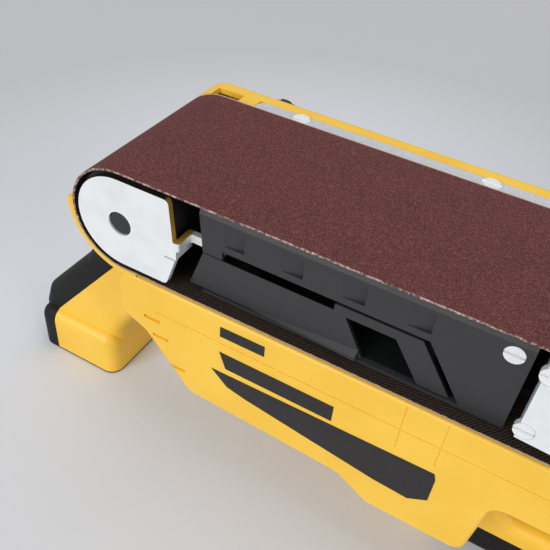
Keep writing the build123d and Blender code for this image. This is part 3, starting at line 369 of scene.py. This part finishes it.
def clothEdge():
    # slit edge of the belt: pale cotton ends with resin between them, darker brown on the lower run
    material, tree, shader, place = startMaterial(
        "slitCottonEdge", slitSettings["roughness"], specular=slitSettings["specular"]
    )
    ends = {"Scale": perMetre(slitSettings["fleckMm"]), "Detail": 3.0, "Roughness": 0.7}
    fleck = addNode(tree, "ShaderNodeTexNoise", ends, {"Vector": place})
    height = fleck.outputs["Fac"]
    tint = addNode(tree, "ShaderNodeValToRGB", links={"Fac": height})
    rampStops(tint, slitSettings["tones"])
    split = addNode(tree, "ShaderNodeSeparateXYZ", links={"Vector": place})
    lowerRun = addNode(
        tree,
        "ShaderNodeMapRange",
        {"From Min": slitSettings["lowerRunFrom"], "From Max": slitSettings["lowerRunFull"]},
        {"Value": split.outputs["Z"]},
    )
    mix = addNode(
        tree,
        "ShaderNodeMix",
        {"data_type": "RGBA", "B": linear(slitSettings["darkEdgeTone"])},
        {"Factor": lowerRun.outputs["Result"], "A": tint.outputs["Color"]},
    )
    tree.links.new(mix.outputs["Result"], shader.inputs["Base Color"])
    bump = addNode(tree, "ShaderNodeBump", slitSettings["bump"], {"Height": height})
    tree.links.new(bump.outputs["Normal"], shader.inputs["Normal"])
    return material


# plain metals by slot: name, dark and light tone, grain in mm, roughness, bump, metallic
metalSettings = {
    # ground bearing steel, a little dark from oil
    "bearing_steel": ("groundBearingSteel", "6A6B6E", "858689", 0.7, 0.34, 0.05, 1.0),
    # blued spring steel: dark, low gloss
    "dark_steel": ("bluedSpringSteel", "2C2C30", "3A3A3F", 0.9, 0.4, 0.05, 1.0),
    # punched laminations, oxidised
    "lamination_steel": ("stackedLaminations", "4A4A4C", "5F5F62", 0.5, 0.5, 0.2, 1.0),
    # gravity-cast aluminium, bead blasted: pale grey with a fine pebble
    "cast_aluminium": ("castAluminium", "C3C7CA", "DADEE0", 0.8, 0.46, 0.15, 0.5),
    # enamelled copper wire in a bundle
    "copper": ("enamelledCopper", "8A4B26", "B96C3C", 0.6, 0.35, 0.3, 1.0),
    # pressed brass strip
    "brass": ("pressedBrass", "A88A48", "C4A65C", 0.8, 0.36, 0.06, 1.0),
}
# plain plastics, rubbers and carbon by slot: the same up to the bump, then the specular level
polymerSettings = {
    # glass-filled nylon from a blasted tool: dark grey, dull, with fine grain that catches light on edges
    "charcoal_plastic": ("charcoalMouldedNylon", "2C2B2D", "363537", 0.5, 0.5, 0.1, 0.4),
    # pressed carbon: near black, dull
    "carbon": ("pressedCarbon", "111112", "1D1D1E", 0.4, 0.6, 0.2, 0.4),
    # nylon with carbon black, moulded
    "black_plastic": ("blackMouldedNylon", "161617", "202022", 0.5, 0.42, 0.15, 0.4),
    # turned nylon roller with fine tool marks
    "roller_nylon": ("turnedNylon", "222224", "2E2E30", 0.5, 0.48, 0.12, 0.4),
    # soft thermoplastic rubber overmould with a pimpled tool finish
    "grip_rubber": ("overmouldedSoftRubber", "070708", "0E0E0F", 0.8, 0.6, 0.35, 0.25),
    # moulded nitrile rubber
    "black_rubber": ("mouldedNitrileRubber", "17171A", "232326", 0.7, 0.6, 0.2, 0.4),
}
finishes = {"yellow_plastic": yellowAbs(), "zinc_steel": zincPlate(), "abrasive_cloth": abrasiveGrit()}
for slot, choice in metalSettings.items():
    finishes[slot] = plainMetal(*choice)
for slot, choice in polymerSettings.items():
    finishes[slot] = plainPolymer(*choice)
slotOf = {part["node"]: part["material_slot"] for part in frame["record"]["subparts"]}
for name, piece in nodes.items():
    piece.data.materials.clear()
    piece.data.materials.append(finishes[slotOf[name]])

# insides given a painted shade: node, new name, shade colour, where it starts across Y, which way it goes
# from there
paintedShadeSettings = {
    "side_cover": ("charcoalCoverPaintedShade", "121716", -0.0298, 1),
    "tension_lever": ("charcoalLeverPaintedShade", "121716", -0.0317, 1),
    "base_frame": ("castAluminiumPaintedShade", "2A2624", 0.0365, -1),
}
insideBlend = 0.0004


def paintInsideShade(source, name, code, start, way):
    # copy of a finish that turns to a dull dark tone past a plane across Y: painted shade for an unlit
    # inside
    material = source.copy()
    material.name = name
    tree = material.node_tree
    shader = tree.nodes["Principled BSDF"]
    base = shader.inputs["Base Color"].links[0].from_socket
    place = addNode(tree, "ShaderNodeTexCoord")
    spot = addNode(tree, "ShaderNodeSeparateXYZ", links={"Vector": place.outputs["Object"]})
    inside = addNode(
        tree,
        "ShaderNodeMapRange",
        {"From Min": start, "From Max": start + way * insideBlend},
        {"Value": spot.outputs["Y"]},
    )
    mix = addNode(
        tree,
        "ShaderNodeMix",
        {"data_type": "RGBA", "B": linear(code)},
        {"Factor": inside.outputs["Result"], "A": base},
    )
    tree.links.new(mix.outputs["Result"], shader.inputs["Base Color"])
    return material


# painted shade on the cover's and lever's inner faces and on the frame behind the gap
for name, choice in paintedShadeSettings.items():
    nodes[name].data.materials[0] = paintInsideShade(finishes[slotOf[name]], *choice)
# the axle end is phosphated, darker than the other ground steel
axleSteel = plainMetal("phosphatedAxleSteel", "464649", "58585C", grainMm=0.9, rough=0.42, bumpBy=0.06)
nodes["front_axle"].data.materials[0] = axleSteel
# screws are barrel plated, brighter than the sheet and without its straw edges
screwZinc = plainMetal(
    "barrelPlatedScrews", "EEF1F3", "FAFCFD", grainMm=0.8, rough=0.3, bumpBy=0.03, metallic=0.4
)
for name in ("drive_cover_screws", "end_plate_screws", "cover_screw", "housing_screws"):
    nodes[name].data.materials[0] = screwZinc
print("finishes set:", len(finishes))


def addPiece(name, bm, materials, smooth=True):
    mesh = bpy.data.meshes.new(name)
    bm.to_mesh(mesh)
    bm.free()
    for material in materials:
        mesh.materials.append(material)
    for face in mesh.polygons:
        face.use_smooth = smooth
    piece = bpy.data.objects.new(name, mesh)
    bpy.context.scene.collection.objects.link(piece)
    return piece


beltSettings = {
    "width": 0.075,
    "loop": 0.533,
    "inner": 0.0229,  # radius of the cloth side at the rollers
    "thickness": 0.0009,
    "border": 0.0009,  # strip along each edge that can fray
    "runSteps": 180,
    "turnSteps": 68,
    "merge": 0.00002,
    "fray": 0.00042,
    "frayMm": 1.7,
}


def beltLoop():
    width = beltSettings["width"]
    low = beltSettings["inner"]
    high = low + beltSettings["thickness"]
    border = beltSettings["border"]
    bm = bmesh.new()
    # the belt's section at the front of the upper run, carried round both rollers
    across = [-width / 2, border - width / 2, width / 2 - border, width / 2]
    ring = [bm.verts.new((-rollerSpacing, y, axleHeight + high)) for y in across]
    ring += [bm.verts.new((-rollerSpacing, y, axleHeight + low)) for y in reversed(across)]
    edges = [bm.edges.new((ring[i], ring[i - 1])) for i in range(len(ring))]
    rear = Vector((0, 0, axleHeight))
    front = Vector((-rollerSpacing, 0, axleHeight))
    run = beltSettings["runSteps"]
    turn = beltSettings["turnSteps"]
    for centre, way in ((rear, 1), (front, -1)):
        step = (way * rollerSpacing / run, 0, 0)
        for angle, move, steps in ((0, step, run), (math.pi, (0, 0, 0), turn)):
            made = bmesh.ops.spin(
                bm, geom=edges, cent=centre, axis=(0, 1, 0), angle=angle, dvec=move, steps=steps
            )
            edges = [e for e in made["geom_last"] if isinstance(e, bmesh.types.BMEdge)]
    bmesh.ops.remove_doubles(bm, verts=bm.verts, dist=beltSettings["merge"])
    bmesh.ops.recalc_face_normals(bm, faces=bm.faces)
    middle = (low + high) / 2

    def isOuter(vert):
        x = min(max(vert.co.x, -rollerSpacing), 0)
        return math.hypot(vert.co.x - x, vert.co.z - axleHeight) > middle

    # grit outside, cloth inside, slit edges between them
    for face in bm.faces:
        outer = sum(isOuter(v) for v in face.verts)
        face.material_index = 0 if outer == len(face.verts) else 1 if outer == 0 else 2
    for vert in bm.verts:
        if abs(vert.co.y) > width / 2 - border / 2:
            wander = noise.noise(vert.co * perMetre(beltSettings["frayMm"]))
            vert.co.y -= math.copysign(abs(wander) * beltSettings["fray"], vert.co.y)
    layers = [finishes["abrasive_cloth"], backingCloth(), clothEdge()]
    return addPiece("sandingBeltCloth", bm, layers, smooth=False)


belt = beltLoop()
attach(belt, "machine")
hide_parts("sanding_belt")
print("belt made:", len(belt.data.polygons), "faces")

coilSettings = {
    # ends in mm from the front axle
    "sliderEnd": (94.15, -5.45),
    "fixedEnd": (123.85, -5.45),
    "coil": 0.0028,  # radius to the middle of the wire
    "wire": 0.0006,  # half its thickness
    "turns": 7,
    "stepsPerTurn": 24,
    "sides": 10,
    "stop": -0.069144,  # X of the face that the spring presses on
    "keep": 0.799,  # length left when the slider is pushed 6 mm back
}


def springCoil():
    startX, height = fromAxle(*coilSettings["sliderEnd"])
    endX = fromAxle(*coilSettings["fixedEnd"])[0]
    wire = coilSettings["wire"]
    steps = coilSettings["turns"] * coilSettings["stepsPerTurn"]
    rise = (endX - startX - 2 * wire) / steps
    bm = bmesh.new()
    bmesh.ops.create_circle(bm, segments=coilSettings["sides"], radius=wire)
    upright = Matrix.Rotation(math.pi / 2, 3, "X")
    bmesh.ops.rotate(bm, verts=bm.verts, cent=(0, 0, 0), matrix=upright)
    bmesh.ops.translate(bm, verts=bm.verts, vec=(startX + wire, 0, height + coilSettings["coil"]))
    bmesh.ops.spin(
        bm,
        geom=bm.edges[:],
        cent=(startX, 0, height),
        axis=(1, 0, 0),
        angle=2 * math.pi * coilSettings["turns"],
        dvec=(rise, 0, 0),
        steps=steps,
    )
    bmesh.ops.holes_fill(bm, edges=[e for e in bm.edges if e.is_boundary])
    bmesh.ops.recalc_face_normals(bm, faces=bm.faces)
    return addPiece("tensionSpringCoil", bm, [finishes["bearing_steel"]])


coil = springCoil()
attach(coil, "machine")
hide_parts("tension_spring")
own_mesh(coil)
print("spring made:", len(coil.data.polygons), "faces")

# bare dark plates on the near side, corners in mm from the front axle
plateSettings = {
    "small": [(46.7, -31.9), (67.3, -31.6), (67.3, -37.2), (46.7, -37.4)],
    "middle": [(46.6, -46.6), (99.5, -46.6), (99.5, -55.4), (50.0, -55.4)],
    "large": [
        (43.0, -59.0),
        (143.5, -56.6),
        (144.6, -60.0),
        (144.6, -74.0),
        (137.0, -79.0),
        (122.0, -78.0),
        (86.0, -72.6),
        (60.0, -68.6),
        (51.0, -66.4),
    ],
}
plateThickness = 0.00018
# calendered vinyl film: near black, smooth, a soft sheen
plateFilm = plainPolymer(
    "calenderedVinylFilm", "1F1D1E", "262425", grainMm=1.2, rough=0.4, bumpBy=0.05, specular=0.3
)


def sidePlate(name, points):
    bm = bmesh.new()
    corners = []
    for x, z in points:
        placeX, placeZ = fromAxle(x, z)
        corners.append(bm.verts.new((placeX, sideFace, placeZ)))
    face = bm.faces.new(corners)
    made = bmesh.ops.extrude_face_region(bm, geom=[face])
    moved = [v for v in made["geom"] if isinstance(v, bmesh.types.BMVert)]
    bmesh.ops.translate(bm, verts=moved, vec=(0, -plateThickness, 0))
    bmesh.ops.recalc_face_normals(bm, faces=bm.faces)
    plate = addPiece(name, bm, [plateFilm], smooth=False)
    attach(plate, "machine")


for name, points in plateSettings.items():
    sidePlate(name + "SidePlate", points)
print("side plates made:", len(plateSettings))

stageSettings = {
    # the floor's tones carry a painted pool of light, paler near the object
    "tones": [(0.0, "BFBFC1"), (0.8, "DEE2EA")],  # far, near
    "backdrop": "BDBDBE",
    "roughness": 0.7,
    "size": 40.0,
    "height": -0.0002,
    # where the painted pool of light lies and how wide it is
    "paintedPoolShift": (0.416, -0.26, 0),
    "paintedPoolScale": (2.6, 2.6, 2.6),
    # the floor turns to the backdrop between these distances, in metres
    "fadeShift": (0.1, -0.05, 0),
    "fadeFrom": 0.38,
    "fadeFull": 0.95,
}


def shownRays(tree):
    # 1 for rays that reach the camera straight, by a reflection or through glass
    path = addNode(tree, "ShaderNodeLightPath")
    shown = path.outputs["Is Camera Ray"]
    for ray in ("Is Glossy Ray", "Is Transmission Ray"):
        both = {0: shown, 1: path.outputs[ray]}
        shown = addNode(tree, "ShaderNodeMath", {"operation": "MAXIMUM"}, both).outputs["Value"]
    return shown


def studioFloor():
    bm = bmesh.new()
    bmesh.ops.create_grid(bm, x_segments=1, y_segments=1, size=stageSettings["size"] / 2)
    bmesh.ops.translate(bm, verts=bm.verts, vec=(0, 0, stageSettings["height"]))
    # painted board with a painted pool of light: paler round the object
    material, tree, shader, place = startMaterial("paintedStudioFloor", stageSettings["roughness"])
    spread = addNode(
        tree,
        "ShaderNodeMapping",
        {"Location": stageSettings["paintedPoolShift"], "Scale": stageSettings["paintedPoolScale"]},
        {"Vector": place},
    )
    paintedPool = addNode(
        tree, "ShaderNodeTexGradient", {"gradient_type": "SPHERICAL"}, {"Vector": spread.outputs["Vector"]}
    )
    tint = addNode(tree, "ShaderNodeValToRGB", links={"Fac": paintedPool.outputs["Fac"]})
    rampStops(tint, stageSettings["tones"])
    tree.links.new(tint.outputs["Color"], shader.inputs["Base Color"])
    # well away from the object it runs into the backdrop without a horizon
    around = addNode(tree, "ShaderNodeMapping", {"Location": stageSettings["fadeShift"]}, {"Vector": place})
    away = addNode(tree, "ShaderNodeVectorMath", {"operation": "LENGTH"}, {0: around.outputs["Vector"]})
    fade = addNode(
        tree,
        "ShaderNodeMapRange",
        {
            "interpolation_type": "SMOOTHSTEP",
            "From Min": stageSettings["fadeFrom"],
            "From Max": stageSettings["fadeFull"],
        },
        {"Value": away.outputs["Value"]},
    )
    both = {0: fade.outputs["Result"], 1: shownRays(tree)}
    share = addNode(tree, "ShaderNodeMath", {"operation": "MULTIPLY"}, both)
    backdrop = addNode(tree, "ShaderNodeEmission", {"Color": linear(stageSettings["backdrop"])})
    sweep = addNode(
        tree,
        "ShaderNodeMixShader",
        links={"Fac": share.outputs["Value"], 1: shader.outputs["BSDF"], 2: backdrop.outputs["Emission"]},
    )
    tree.links.new(sweep.outputs["Shader"], tree.nodes["Material Output"].inputs["Surface"])
    addPiece("studioFloor", bm, [material], smooth=False)


studioFloor()

# large softboxes well away, so that the floor's light falls off slowly: name, place, size, watts
lightSettings = [
    ("keySoftbox", (-1.55, -4.5, 2.65), 3.9, 194),
    ("topSoftbox", (0.4, 1.05, 4.9), 4.8, 99),
    ("sideSoftbox", (4.6, -2.1, 2.5), 3.3, 72),
]
lightTarget = Vector((-0.05, 0, 0.1))
for name, spot, size, power in lightSettings:
    data = bpy.data.lights.new(name, "AREA")
    data.shape = "DISK"
    data.size = size
    data.energy = power
    lamp = bpy.data.objects.new(name, data)
    lamp.location = spot
    lamp.rotation_euler = (lightTarget - Vector(spot)).to_track_quat("-Z", "Y").to_euler()
    bpy.context.scene.collection.objects.link(lamp)

worldSettings = {"surround": "E6E8EA", "strength": 0.38}
world = bpy.data.worlds.new("studioWorld")
world.use_nodes = True
tree = world.node_tree
surround = tree.nodes["Background"]
surround.inputs["Color"].default_value = linear(worldSettings["surround"])
surround.inputs["Strength"].default_value = worldSettings["strength"]
# to the camera, and in reflections, the surround is the backdrop that the floor runs into
backdrop = addNode(tree, "ShaderNodeBackground", {"Color": linear(stageSettings["backdrop"])})
choice = addNode(
    tree,
    "ShaderNodeMixShader",
    links={"Fac": shownRays(tree), 1: surround.outputs["Background"], 2: backdrop.outputs["Background"]},
)
tree.links.new(choice.outputs["Shader"], tree.nodes["World Output"].inputs["Surface"])
bpy.context.scene.world = world

# camera as fitted to the photograph
cameraSettings = {
    "place": (-0.04591, -0.20229, 0.29985),
    "right": (0.8694, 0.4880, 0.0773),
    "down": (0.3736, -0.5469, -0.7492),
    "forward": (-0.3234, 0.6803, -0.6578),
    "lens": 45.16,
    "sensor": 36,
    "nearest": 0.01,
}
camera = bpy.data.objects.new("photoCamera", bpy.data.cameras.new("photoCamera"))
camera.data.lens = cameraSettings["lens"]
camera.data.sensor_width = cameraSettings["sensor"]
camera.data.clip_start = cameraSettings["nearest"]
axes = (cameraSettings["right"], -Vector(cameraSettings["down"]), -Vector(cameraSettings["forward"]))
camera.matrix_world = Matrix.Translation(cameraSettings["place"]) @ Matrix(axes).transposed().to_4x4()
bpy.context.scene.collection.objects.link(camera)
bpy.context.scene.camera = camera
bpy.context.scene.view_settings.view_transform = "Standard"
print("stage, lights and camera set")
